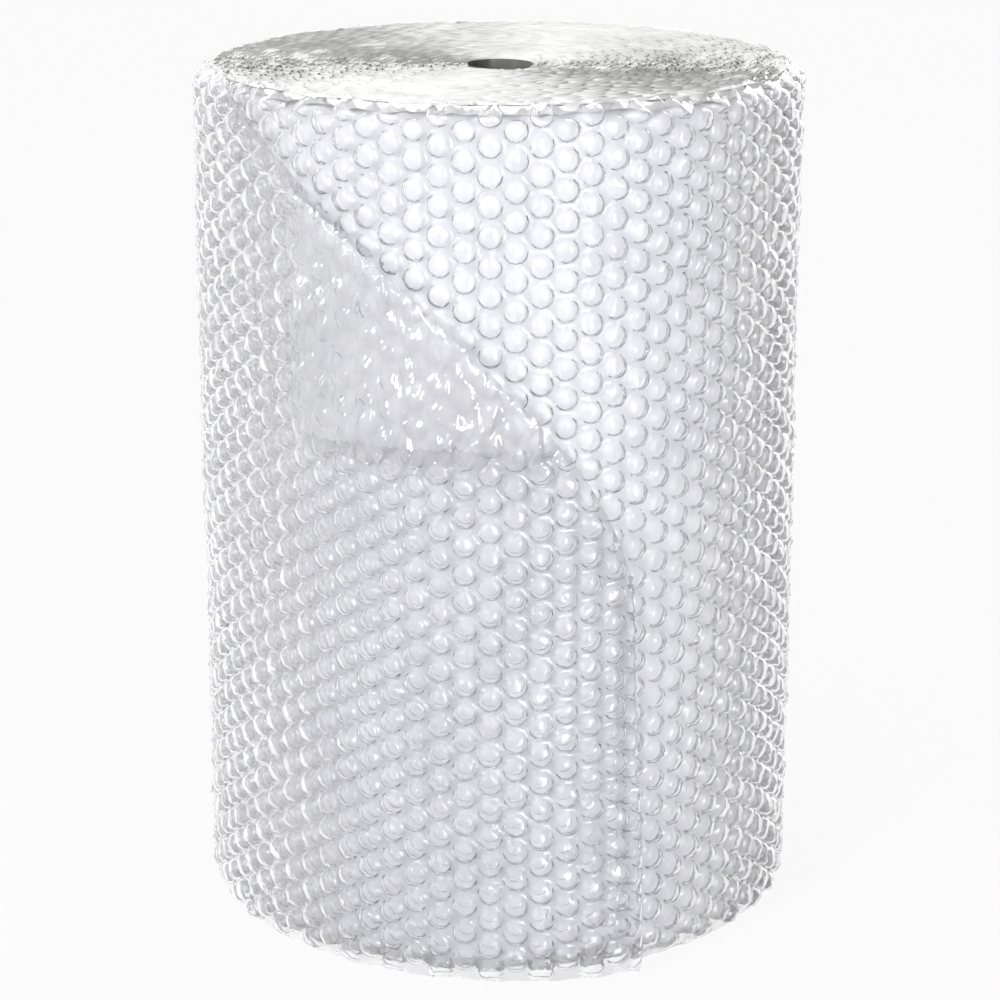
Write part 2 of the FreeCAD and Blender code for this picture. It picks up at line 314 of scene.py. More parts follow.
@dataclass(frozen=True)
class BubbleLattice:
    """Staggered round bubbles welded onto flat film, as cells of triangles that share their borders.

    Attributes:
        web: The film.
        rings: For each ring of a bubble from its top outwards, its share of the radius and of the height.
        base_radius: Radius of a bubble where it is welded to the film.
        seed: Seed of the unevenness between bubbles.
        pressed_edge: Width along the web's edges over which the bubbles are pressed flat.
        slackness: Share of its height that the slackest bubble lacks.
        lean: How far bubbles lean, as a share of their height.
        pucker: How uneven a bubble's own skin is, as a share of its height.
        spare_rows: Half rows past each edge that fill the cells there.
    """

    web: Web
    rings: tuple[tuple[float, float], ...] = ROUND_RINGS
    base_radius: float = 0.0142
    seed: int = 11
    pressed_edge: float = 0.009
    slackness: float = 0.22
    lean: float = 0.16
    pucker: float = 0.11
    spare_rows: int = 2

    def border(self) -> np.ndarray:
        """Twelve points round a cell, shared with its six neighbours."""
        step, half = self.web.column_step, self.web.row_step
        far = (step * step + half * half) / (2 * step)
        near = (step * step - half * half) / (2 * step)
        corners = [(far, 0.0), (near, half), (-near, half), (-far, 0.0), (-near, -half), (near, -half)]
        points = []
        for index, corner in enumerate(corners):
            following = corners[(index + 1) % len(corners)]
            points.append(corner)
            points.append(((corner[0] + following[0]) / 2, (corner[1] + following[1]) / 2))
        return np.array(points)

    def template(self) -> tuple[np.ndarray, np.ndarray, np.ndarray]:
        """One bubble's cell.

        Returns:
            Its points about the bubble's middle, their shares of the height, and its triangles.
        """
        angles = np.arange(RIM_POINTS) * FULL_TURN / RIM_POINTS
        circle = np.stack([np.cos(angles), np.sin(angles)], axis=1)
        points, shares = [np.zeros((1, 2))], [np.ones(1)]
        for radius_share, height_share in self.rings:
            points.append(circle * radius_share * self.base_radius)
            shares.append(np.full(RIM_POINTS, height_share))
        points.append(self.border())
        shares.append(np.zeros(RIM_POINTS))
        faces = [(0, 1 + k, 1 + (k + 1) % RIM_POINTS) for k in range(RIM_POINTS)]
        for ring in range(len(self.rings)):
            start = 1 + ring * RIM_POINTS
            for k in range(RIM_POINTS):
                a, b = start + k, start + (k + 1) % RIM_POINTS
                faces.append((a, a + RIM_POINTS, b + RIM_POINTS))
                faces.append((a, b + RIM_POINTS, b))
        return np.concatenate(points), np.concatenate(shares), np.array(faces)

    def crown_at(self, arc: np.ndarray, height: np.ndarray) -> np.ndarray:
        """Share of a whole bubble's height at places on the web, for film too finely creased for the cells.

        Args:
            arc: Places along the web.
            height: Heights above the lower end.

        Returns:
            One share for each place.
        """
        web = self.web
        nearest = np.full(len(arc), np.inf)
        for side in (0, 1):
            column = 2 * np.round((arc / web.column_step - side) / 2) + side
            odd = (column + 1) % 2
            row = 2 * np.round(((height - web.first_row) / web.row_step - odd) / 2) + odd
            away = np.hypot(arc - column * web.column_step, height - web.first_row - row * web.row_step)
            nearest = np.minimum(nearest, away)
        return np.clip(1 - (nearest / self.base_radius) ** 2, 0.0, None)

    def patch(self, first_column: int, last_column: int) -> Patch:
        """Lays the cells of a stretch of web.

        Args:
            first_column: The first bubble column of the stretch.
            last_column: The column after its last.

        Returns:
            The stretch, cut off square at the web's two edges.
        """
        web = self.web
        spare = self.spare_rows
        columns, rows = np.arange(first_column, last_column), np.arange(-spare, web.rows + spare + 1)
        column, row = np.meshgrid(columns, rows, indexing="ij")
        chosen = (column + row) % 2 == 1
        column, row = column[chosen], row[chosen]
        bubble = (row > -spare) & (row < web.rows + spare)
        offsets, shares, faces = self.template()
        rng = np.random.default_rng(self.seed + first_column)
        cells = len(column)
        fullness = np.where(bubble, 1.0 - self.slackness * rng.random(cells) ** 2, 0.0)
        lean = rng.normal(0.0, self.lean, (cells, 2))
        tilt = 1.0 + (lean @ (offsets / self.base_radius).T)
        pucker = 1.0 + self.pucker * rng.normal(0.0, 1.0, (cells, len(shares)))
        crown = fullness[:, None] * shares[None, :]
        height = web.first_row + row[:, None] * web.row_step + offsets[None, :, 1]
        crown = crown * soft_step(np.minimum(height, web.width - height), self.pressed_edge)
        lift = crown * tilt * pucker * web.bubble_height
        arc = column[:, None] * web.column_step + offsets[None, :, 0]
        all_faces = faces[None] + (np.arange(cells) * len(shares))[:, None, None]
        height = np.clip(height, 0.0, web.width)
        places = np.round(np.stack([arc.ravel(), height.ravel()], axis=1), MERGE_DIGITS)
        _, first, merged = np.unique(places, axis=0, return_index=True, return_inverse=True)
        laid = Patch(arc.ravel()[first], height.ravel()[first], lift.ravel()[first], crown.ravel()[first],
                     merged.ravel()[all_faces.reshape(-1, 3)])
        return laid.without_slivers()


def film_object(name: str, points: np.ndarray, faces: np.ndarray,
                crown: Optional[np.ndarray] = None) -> bpy.types.Object:
    """Makes a smooth-shaded mesh object.

    Args:
        name: Name of the piece.
        points: One row for each point.
        faces: One row for each face.
        crown: Shares of a bubble's height, kept as the attribute "crown".

    Returns:
        The object, linked to the scene.
    """
    mesh = bpy.data.meshes.new(name)
    sides = faces.shape[1]
    mesh.vertices.add(len(points))
    mesh.vertices.foreach_set("co", points.astype(np.float32).ravel())
    mesh.loops.add(faces.size)
    mesh.loops.foreach_set("vertex_index", faces.astype(np.int32).ravel())
    mesh.polygons.add(len(faces))
    mesh.polygons.foreach_set("loop_start", np.arange(0, faces.size, sides, dtype=np.int32))
    mesh.update(calc_edges=True)
    mesh.validate()
    if crown is not None:
        mark = mesh.attributes.new("crown", "FLOAT", "POINT")
        mark.data.foreach_set("value", crown.astype(np.float32))
    mesh.shade_smooth()
    piece = bpy.data.objects.new(name, mesh)
    bpy.context.scene.collection.objects.link(piece)
    return piece


def grid_faces(columns: int, rows: int, closed: bool = False) -> np.ndarray:
    """Triangles of a grid of points stored column by column.

    Args:
        columns: Columns of points.
        rows: Points in each column.
        closed: Whether the last column joins the first.

    Returns:
        Three points for each triangle.
    """
    spans = columns if closed else columns - 1
    column, row = np.meshgrid(np.arange(spans), np.arange(rows - 1), indexing="ij")
    column, row = column.ravel(), row.ravel()
    here, there = column * rows + row, ((column + 1) % columns) * rows + row
    lower = np.stack([here, there, there + 1], axis=1)
    upper = np.stack([here, there + 1, here + 1], axis=1)
    return np.concatenate([lower, upper])


class NodeTray:
    """A node tree with short ways to add and join its nodes."""

    def __init__(self, tree: bpy.types.NodeTree) -> None:
        """Keeps the tree that the nodes go in."""
        self.tree = tree

    def add(self, kind: str, **settings: object) -> bpy.types.Node:
        """Adds a node of that kind and sets its properties."""
        node = self.tree.nodes.new(kind)
        for name, value in settings.items():
            setattr(node, name, value)
        return node

    def join(self, source: bpy.types.NodeSocket, target: bpy.types.NodeSocket) -> None:
        """Links an output to an input."""
        self.tree.links.new(source, target)

    def sum_of(self, operation: str, *inputs: object) -> bpy.types.NodeSocket:
        """Adds a Math node.

        Args:
            operation: What the node does.
            inputs: Sockets or numbers, in the node's order.

        Returns:
            Its output.
        """
        node = self.add("ShaderNodeMath", operation=operation)
        for socket, value in zip(node.inputs, inputs):
            if isinstance(value, bpy.types.NodeSocket):
                self.join(value, socket)
            else:
                socket.default_value = value
        return node.outputs["Value"]


class FilmCrinkle:
    """The node group that every film finish shares: cloudy patches and fine crinkles of blown film.

    Between CLOUD_START and CLOUD_FULL a patch goes from clear to cloudy.
    """

    NAME = "film_crinkle"
    CLOUD_SCALE = 9.0
    CLOUD_DETAIL = 1.0
    CLOUD_START = 0.34
    CLOUD_FULL = 0.64
    ROUGHNESS = 0.6
    STREAK_SCALE = 40.0
    STREAK_DETAIL = 1.0
    STRETCH = (1.0, 1.0, 0.42)

    @classmethod
    def get(cls) -> bpy.types.NodeTree:
        """Returns the group, made on its first use."""
        return bpy.data.node_groups.get(cls.NAME) or cls.build()

    @classmethod
    def build(cls) -> bpy.types.NodeTree:
        """Makes the group: Cloud and Crinkle, each from 0 to 1, for a position and a fineness."""
        group = bpy.data.node_groups.new(cls.NAME, "ShaderNodeTree")
        group.interface.new_socket("Position", in_out="INPUT", socket_type="NodeSocketVector")
        fine = group.interface.new_socket("Fineness", in_out="INPUT", socket_type="NodeSocketFloat")
        fine.default_value = 1.0
        group.interface.new_socket("Cloud", in_out="OUTPUT", socket_type="NodeSocketFloat")
        group.interface.new_socket("Crinkle", in_out="OUTPUT", socket_type="NodeSocketFloat")
        tray = NodeTray(group)
        entry, leave = tray.add("NodeGroupInput"), tray.add("NodeGroupOutput")
        stretched = tray.add("ShaderNodeVectorMath", operation="MULTIPLY")
        tray.join(entry.outputs["Position"], stretched.inputs[0])
        stretched.inputs[1].default_value = cls.STRETCH
        cloud = tray.add("ShaderNodeTexNoise")
        cloud.inputs["Scale"].default_value = cls.CLOUD_SCALE
        cloud.inputs["Detail"].default_value = cls.CLOUD_DETAIL
        cloud.inputs["Roughness"].default_value = cls.ROUGHNESS
        tray.join(entry.outputs["Position"], cloud.inputs["Vector"])
        streak = tray.add("ShaderNodeTexNoise", noise_type="RIDGED_MULTIFRACTAL")
        streak.inputs["Detail"].default_value = cls.STREAK_DETAIL
        streak.inputs["Roughness"].default_value = cls.ROUGHNESS
        tray.join(stretched.outputs["Vector"], streak.inputs["Vector"])
        scale = tray.sum_of("MULTIPLY", entry.outputs["Fineness"], cls.STREAK_SCALE)
        tray.join(scale, streak.inputs["Scale"])
        tray.join(cloud.outputs["Fac"], leave.inputs["Cloud"])
        tray.join(streak.outputs["Fac"], leave.inputs["Crinkle"])
        return group


@dataclass(frozen=True)
class FilmFinish:
    """Blown film: its colour, with painted light and shade on its bubbles and creases, its clearness, gloss
    and crinkles.

    Attributes:
        name: Name of the material.
        pale: Colour where the film is cloudiest, and the lit end of the painted light and shade on bubbles
            and creases.
        grey: Colour where it is clearest, and the shaded end of that painted light and shade.
        clearness: Share of the light that goes through the film as through glass.
        gloss: Roughness of the clearest film.
        dull: Roughness of the cloudiest film.
        ior: Index of refraction of the gloss.
        crinkle: Depth of the fine crinkles, in metres, or 0 for film that other film covers.
        fineness: How fine the crinkles are.
        coat: Weight of the clear gloss over it.
        coat_roughness: Roughness of that gloss.
        cloudiness: Share of the colour that the cloudy patches set.
        crown_paleness_and_shade: Share of the colour that the "crown" attribute sets: painted light on bubble
            tops and painted shade on the flat film between them.
        crease_painted_light: Share of the colour that the fine creases set: painted light along their ridges.
    """

    name: str
    pale: Colour = (0.86, 0.86, 0.885)
    grey: Colour = (0.70, 0.70, 0.735)
    clearness: float = 0.0
    gloss: float = 0.20
    dull: float = 0.34
    ior: float = 1.6
    crinkle: float = 0.0022
    fineness: float = 1.0
    coat: float = 1.0
    coat_roughness: float = 0.05
    cloudiness: float = 0.22
    crown_paleness_and_shade: float = 0.85
    crease_painted_light: float = 0.0

    def material(self) -> bpy.types.Material:
        """Makes the material."""
        material = bpy.data.materials.new(self.name)
        material.use_nodes = True
        tray = NodeTray(material.node_tree)
        tray.tree.nodes.clear()
        output = tray.add("ShaderNodeOutputMaterial")
        shader = tray.add("ShaderNodeBsdfPrincipled", distribution="GGX")
        tray.join(shader.outputs["BSDF"], output.inputs["Surface"])
        place = tray.add("ShaderNodeTexCoord")
        group = tray.add("ShaderNodeGroup", node_tree=FilmCrinkle.get())
        group.inputs["Fineness"].default_value = self.fineness
        tray.join(place.outputs["Object"], group.inputs["Position"])
        tint = tray.add("ShaderNodeMix", data_type="RGBA")
        tint.inputs["A"].default_value = (*self.grey, 1.0)
        tint.inputs["B"].default_value = (*self.pale, 1.0)
        cloud = tray.add("ShaderNodeMapRange")
        cloud.inputs["From Min"].default_value = FilmCrinkle.CLOUD_START
        cloud.inputs["From Max"].default_value = FilmCrinkle.CLOUD_FULL
        tray.join(group.outputs["Cloud"], cloud.inputs["Value"])
        crown = tray.add("ShaderNodeAttribute", attribute_name="crown")
        cloudy = tray.sum_of("MULTIPLY", cloud.outputs["Result"], self.cloudiness)
        # Painted light and shade: the crown attribute makes bubble tops paler and the flat film between them
        # darker.
        patchy = tray.sum_of("MULTIPLY_ADD", crown.outputs["Fac"], self.crown_paleness_and_shade, cloudy)
        # Painted light: the crinkle noise also lightens the colour along the ridges of the creases.
        tone_with_painted_light = tray.sum_of("MULTIPLY_ADD", group.outputs["Crinkle"], self.crease_painted_light, patchy)
        tray.join(tone_with_painted_light, tint.inputs["Factor"])
        tray.join(tint.outputs["Result"], shader.inputs["Base Color"])
        sheen = tray.sum_of("MULTIPLY_ADD", cloud.outputs["Result"], self.dull - self.gloss, self.gloss)
        tray.join(sheen, shader.inputs["Roughness"])
        shader.inputs["IOR"].default_value = self.ior
        shader.inputs["Transmission Weight"].default_value = self.clearness
        shader.inputs["Coat Weight"].default_value = self.coat
        shader.inputs["Coat Roughness"].default_value = self.coat_roughness
        if self.crinkle > 0.0:
            bump = tray.add("ShaderNodeBump")
            bump.inputs["Strength"].default_value = 1.0
            bump.inputs["Distance"].default_value = self.crinkle
            tray.join(group.outputs["Crinkle"], bump.inputs["Height"])
            tray.join(bump.outputs["Normal"], shader.inputs["Normal"])
        return material


def dress(piece: bpy.types.Object, finish: FilmFinish, replaces_node: bool = False) -> bpy.types.Object:
    """Gives a piece its finish and joins it to the part.

    Args:
        piece: The piece.
        finish: Its finish.
        replaces_node: Whether it stands for the CAD node.

    Returns:
        The same piece.
    """
    found = bpy.data.materials.get(finish.name)
    piece.data.materials.append(found or finish.material())
    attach(piece, BODY)
    if replaces_node:
        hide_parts(NODE)
    LOG.info("%s: %d faces", piece.name, len(piece.data.polygons))
    return piece


CLEAR_FILM = FilmFinish(
    "clear_bubble_film", pale=(0.90, 0.90, 0.925), grey=(0.70, 0.70, 0.73), clearness=0.82, gloss=0.09,
    dull=0.24, ior=1.20, coat=0.32, coat_roughness=0.27, crown_paleness_and_shade=0.8)
LOOSE_FILM = FilmFinish(
    "crinkled_film", pale=(0.97, 0.97, 0.99), grey=(0.82, 0.82, 0.85), clearness=0.76, gloss=0.06,
    dull=0.14, ior=1.28, crinkle=0.006, fineness=1.6, coat_roughness=0.09, cloudiness=0.1,
    crown_paleness_and_shade=0.3, crease_painted_light=0.8)
WOUND_FILM = FilmFinish(
    "wound_film", pale=(0.93, 0.93, 0.95), grey=(0.84, 0.84, 0.87), gloss=0.30, dull=0.45, crinkle=0.0,
    coat_roughness=0.28, crown_paleness_and_shade=0.5)
PACKED_FILM = FilmFinish(
    "packed_film", pale=(0.67, 0.67, 0.665), grey=(0.58, 0.58, 0.575), gloss=0.35, dull=0.6, coat=0.05,
    cloudiness=1.0)
EDGE_FILM = FilmFinish(
    "film_edges", pale=(0.67, 0.67, 0.665), grey=(0.58, 0.58, 0.575), gloss=0.4, dull=0.55, crinkle=0.0,
    coat=0.08, cloudiness=1.0)
# Near-black film for the wall of the hole: painted shade.
BORE_SHADE = FilmFinish(
    "bore_painted_shade", pale=(0.12, 0.12, 0.11), grey=(0.05, 0.05, 0.045), gloss=0.4, dull=0.6, coat=0.0,
    cloudiness=1.0)


@dataclass(frozen=True)
class OuterTurn:
    """The last turn of film, with its free end, its crease and its loose foot.

    Attributes:
        web: The film.
        lattice: Its bubbles.
        crease_fade: Width below the crease over which the bubbles rise to their full height.
        crease_drop: Depth by which the film dips at the crease.
        end_fade: Width beside the free end over which the bubbles rise.
        end_drop: Depth by which the film dips at the free end, above the foot.
        drop_width: Width of both dips.
        wave: Slow waves of the film off the roll.
        flutter: Faster waves near the free end.
        flutter_width: Width beside the free end that flutters.
        frill: Ripple of the cut edges.
        dip: Unevenness in height of the upper cut edge.
        tuck_flatten: Share by which the bubbles are flatter over the folded-under corner.
        tuck_opening: Share of the folded-under corner past which the outer turn is left out.
        bare_columns: Columns of the turn beneath that the fold lays bare, and that belong to this film.
        split_column: Column at which the film is split into its two pieces, at the back.
        press: Share by which bubbles are pressed flatter under other film.
        press_depth: Depth by which that film is pressed in.
        press_ahead: Distance ahead of the crease at which the press begins.
        press_width: Width over which the press comes in below the crease.
        press_start: Width over which it comes in from the free end.
    """

    web: Web
    lattice: BubbleLattice
    crease_fade: float = 0.010
    crease_drop: float = 0.0050
    end_fade: float = 0.004
    end_drop: float = 0.0035
    drop_width: float = 0.009
    wave: Ripple = Ripple(5, 0.11, 0.13, 0.0011)
    flutter: Ripple = Ripple(3, 0.05, 0.07, 0.0016)
    flutter_width: float = 0.05
    frill: Ripple = Ripple(7, 0.013, depth=0.003)
    dip: Ripple = Ripple(8, 0.010, depth=0.010)
    tuck_flatten: float = 0.9
    tuck_opening: float = 0.8
    bare_columns: int = 22
    split_column: float = 49.5
    press: float = 0.68
    press_depth: float = 0.0008
    press_ahead: float = 0.007
    press_width: float = 0.011
    press_start: float = 0.03

    def build(self) -> list[bpy.types.Object]:
        """Lays the last turn and the stretch that its fold lays bare, and wraps them round the roll."""
        web = self.web
        laid = self.cut_out()
        below, tuck = web.below_crease(laid.arc, laid.height), self.tucked(laid)
        covered = self.covered(laid)
        fade = soft_step(below, self.crease_fade) * soft_step(laid.arc, self.end_fade)
        fade = fade * (1 - self.tuck_flatten * tuck) * (1 - self.press * covered)
        lift = laid.lift * fade - self.press_depth * covered - self.dips(laid, below)
        loose = soft_step(self.flutter_width - laid.arc, self.flutter_width)
        flutter = self.flutter.at(laid.arc, laid.height) * loose
        radius = web.film_radius(laid.arc) + web.outer_swell(laid.arc, laid.height) + lift + flutter
        radius = radius + self.wave.at(laid.arc, laid.height) - web.edge_draw(laid.height)
        edge = np.minimum(laid.height, web.width - laid.height)
        radius = radius + self.frill.along(laid.arc) * web.near_edge(edge)
        height = laid.height - np.abs(self.dip.along(laid.arc)) * web.near_edge(web.width - laid.height)
        # Film pressed under the outer turn takes the pale end of the painted bubble light and shade all over.
        wrapped = Patch(laid.arc, height, radius, np.maximum(laid.crown * fade, covered), laid.faces)
        ahead = laid.arc[laid.faces].mean(axis=1) < self.split_column * web.column_step
        front = self.piece("outer_turn", wrapped.keep(ahead))
        return [front, self.piece("outer_turn_behind", wrapped.keep(~ahead))]

    def cut_out(self) -> Patch:
        """Lays the film flat, and cuts it along the crease and round the opening for the folded corner."""
        web = self.web
        laid = self.lattice.patch(0, web.columns + 1 + self.bare_columns)
        laid.arc = np.clip(laid.arc, 0.0, None)
        below = web.below_crease(laid.arc, laid.height)
        laid = laid.keep((below[laid.faces] > 0).any(axis=1))
        self.trim(laid)
        laid = laid.keep((self.tucked(laid)[laid.faces] < self.tuck_opening).any(axis=1))
        return laid.without_slivers()

    def dips(self, laid: Patch, below: np.ndarray) -> np.ndarray:
        """Depth of the dips along the crease and the free end.

        Args:
            laid: The film, laid flat.
            below: Distances of its points below the crease.

        Returns:
            One depth for each point.
        """
        web = self.web
        foot = soft_step(web.foot_height - laid.height, web.foot_height / 2)
        crease = self.crease_drop * (1 - soft_step(below, self.drop_width))
        return crease + self.end_drop * (1 - soft_step(laid.arc, self.drop_width)) * (1 - foot)

    def tucked(self, laid: Patch) -> np.ndarray:
        """Share, from 0 to 1, of the folded-under corner beneath the film's points."""
        return self.web.in_tuck(laid.arc, laid.height) * (laid.arc < self.web.fold_width)

    def piece(self, name: str, part: Patch) -> bpy.types.Object:
        """Makes a piece of film from a patch whose lift is its distance from the axis."""
        points = self.web.place(part.arc, part.height, part.lift)
        return dress(film_object(name, points, part.faces, part.crown), CLEAR_FILM)

    def covered(self, laid: Patch) -> np.ndarray:
        """Share, from 0 to 1, by which the film lies under the outer turn, and is pressed flatter there."""
        over = laid.arc - self.web.girth
        ahead = self.web.below_crease(np.clip(over, 0.0, None), laid.height) + self.press_ahead
        return soft_step(ahead, self.press_width) * soft_step(over, self.press_start)

    def trim(self, laid: Patch) -> None:
        """Draws points that lie past the crease back onto it."""
        web = self.web
        below = web.below_crease(laid.arc, laid.height)
        slope = web.crease_slope(laid.arc)
        past = below < 0
        length = np.hypot(1.0, slope)
        laid.arc[past] = np.clip(laid.arc + below * slope / length, 0.0, None)[past]
        laid.height[past] = np.clip(laid.height + below / length, 0.0, web.width)[past]
        laid.lift[past] = 0.0


@dataclass(frozen=True)
class TurnBeneath:
    """The turn that the clear film runs on into, pressed flatter all round, as pale as the mass under it.

    Attributes:
        web: The film.
        lattice: Its bubbles.
        first_column: The bubble column where it takes over from the clear film.
        press: Share by which its bubbles are pressed flatter.
        wave: Slow waves of the film off the roll.
        edge_share: How far its cut edges are drawn in, as a multiple of the outer turn's.
        edge_dip: Largest depth of its upper cut edge below the web's width.
        frill: Unevenness of that edge, from -1 to 1.
        frill_depth: Its largest depth in and out of the roll.
    """

    web: Web
    lattice: BubbleLattice
    first_column: int
    press: float = 0.68
    wave: Ripple = Ripple(6, 0.10, 0.12, 0.0010)
    edge_share: float = 1.2
    edge_dip: float = 0.012
    frill: Ripple = Ripple(61, 0.010)
    frill_depth: float = 0.002

    def build(self) -> bpy.types.Object:
        """Lays one turn of bubbles and wraps it on."""
        web = self.web
        laid = self.lattice.patch(self.first_column, self.first_column + web.columns)
        radius = web.film_radius(laid.arc) + laid.lift * (1 - self.press)
        radius = radius + self.wave.at(laid.arc, laid.height) - web.edge_draw(laid.height) * self.edge_share
        near_top = web.near_edge(web.width - laid.height)
        frill = self.frill.along(laid.arc)
        height = laid.height - near_top * self.edge_dip * (1 + frill) / 2
        points = web.place(laid.arc, height, radius + near_top * self.frill_depth * frill)
        return dress(film_object("turn_beneath", points, laid.faces, laid.crown), WOUND_FILM, True)


@dataclass(frozen=True)
class WoundMass:
    """The turns further in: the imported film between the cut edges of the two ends, and the hole through it.

    Attributes:
        web: The film.
        end_depth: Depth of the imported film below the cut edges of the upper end.
        foot_depth: Its height above the cut edges of the lower end.
        end_rings: Rings of points from the hole to the outside.
        points_per_column: Points round an end for each bubble column.
        outer_turns: Turns that stand outside the ends.
        unevenness: Ripple of the ends.
        bore_points: Points round the hole.
        bore_rows: Rows of points down it.
        bore_gap: Distance of its rim below the dished end.
        bore_creases: Ripple of its wall.
    """

    web: Web
    end_depth: float = 0.0030
    foot_depth: float = 0.006
    end_rings: int = 34
    points_per_column: int = 4
    outer_turns: int = 2
    unevenness: Ripple = Ripple(21, 0.03, 0.012, 0.0015)
    bore_points: int = 72
    bore_rows: int = 90
    bore_gap: float = 0.001
    bore_creases: Ripple = Ripple(31, 0.12, 0.04, 0.0008)

    def build(self) -> list[bpy.types.Object]:
        """Builds the two ends and the wall of the hole."""
        return [self.end("upper_end", End.UPPER), self.end("lower_end", End.LOWER), self.bore()]

    def end(self, name: str, side: End) -> bpy.types.Object:
        """A ring of pressed film, dished at the upper end.

        Args:
            name: Name of the piece.
            side: Which end it closes.

        Returns:
            The ring.
        """
        web = self.web
        outside = web.roll_radius - self.outer_turns * web.turn_thickness
        radii = web.bore_radius + (outside - web.bore_radius) * np.linspace(0.0, 1.0, self.end_rings)
        columns = self.points_per_column * web.columns
        turned, radius = self.grid(columns, radii)
        if side is End.UPPER:
            height = web.width - self.end_depth - web.dish_depth(radius)
        else:
            height = np.full_like(radius, self.foot_depth)
        points = web.place(turned, height + self.unevenness.at(turned, radius), radius)
        return dress(film_object(name, points, grid_faces(columns, self.end_rings, True)), PACKED_FILM)

    def bore(self) -> bpy.types.Object:
        """The wall of the hole, of pressed film with its own creases, coloured near-black as painted shade
        down the hole.
        """
        web = self.web
        top = web.width - web.end_dish - self.bore_gap
        turned, height = self.grid(self.bore_points, np.linspace(0.0, top, self.bore_rows))
        points = web.place(turned, height, web.bore_radius + self.bore_creases.at(turned, height))
        faces = grid_faces(self.bore_points, self.bore_rows, True)
        return dress(film_object("bore_wall", points, faces), BORE_SHADE)

    def grid(self, columns: int, values: np.ndarray) -> tuple[np.ndarray, np.ndarray]:
        """Points once round the roll, column by column.

        Args:
            columns: Columns of points.
            values: What each column steps through, such as radii or heights.

        Returns:
            Places along the web, and the values.
        """
        around = np.arange(columns) * self.web.girth / columns
        turned, stepped = np.meshgrid(around, values, indexing="ij")
        return turned.ravel(), stepped.ravel()


